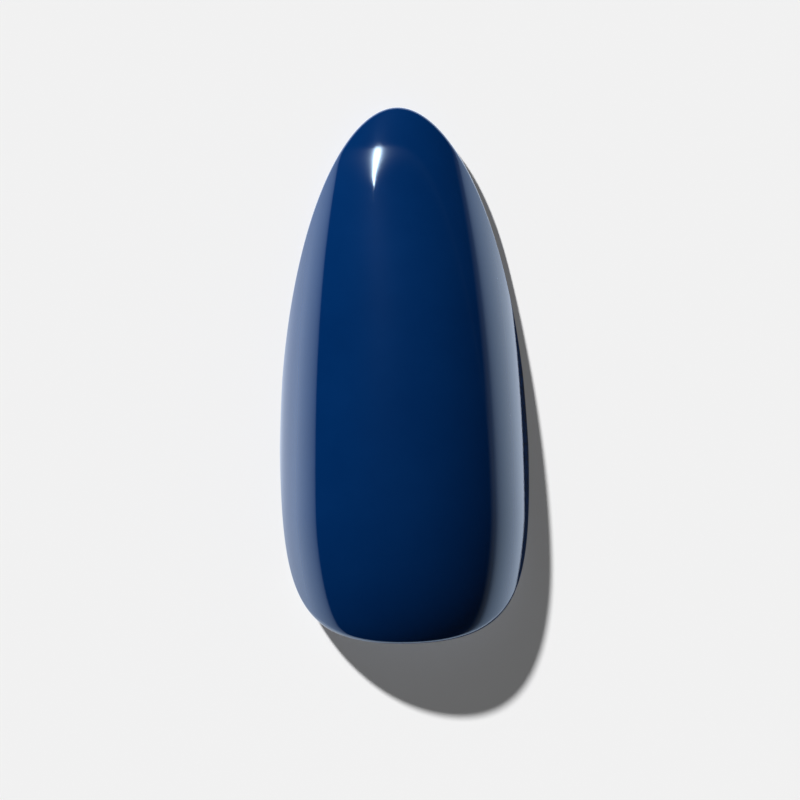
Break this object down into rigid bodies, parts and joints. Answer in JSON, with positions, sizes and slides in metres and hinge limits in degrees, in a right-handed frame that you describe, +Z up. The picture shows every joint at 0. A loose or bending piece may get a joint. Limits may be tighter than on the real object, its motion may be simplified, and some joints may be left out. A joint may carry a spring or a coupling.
{
  "type": "false nail",
  "caption": "Almond-shaped full-cover false nail with a deep C-curve, a hollow underside and layered cured gel coats with a high-gloss navy finish.",
  "frame": {"origin": "on the table, below the middle of the nail's box", "axes": "+Y along the nail to its free tip, +X across it to the right as seen from above, +Z up, away from the finger"},
  "size_m": [0.012, 0.0258, 0.0054],
  "materials": {
    "tip_plastic": "milky moulded plastic, frosted inside",
    "base_gel": "cured clear gel",
    "colour_gel": "cured navy gel",
    "top_gel": "high gloss, clear gel over navy"
  },
  "bodies": {
    "root": {"tip_shell": "tip_plastic", "base_coat": "base_gel", "colour_coat_1": "colour_gel", "colour_coat_2": "colour_gel", "top_coat": "top_gel"}
  },
  "joints": []
}
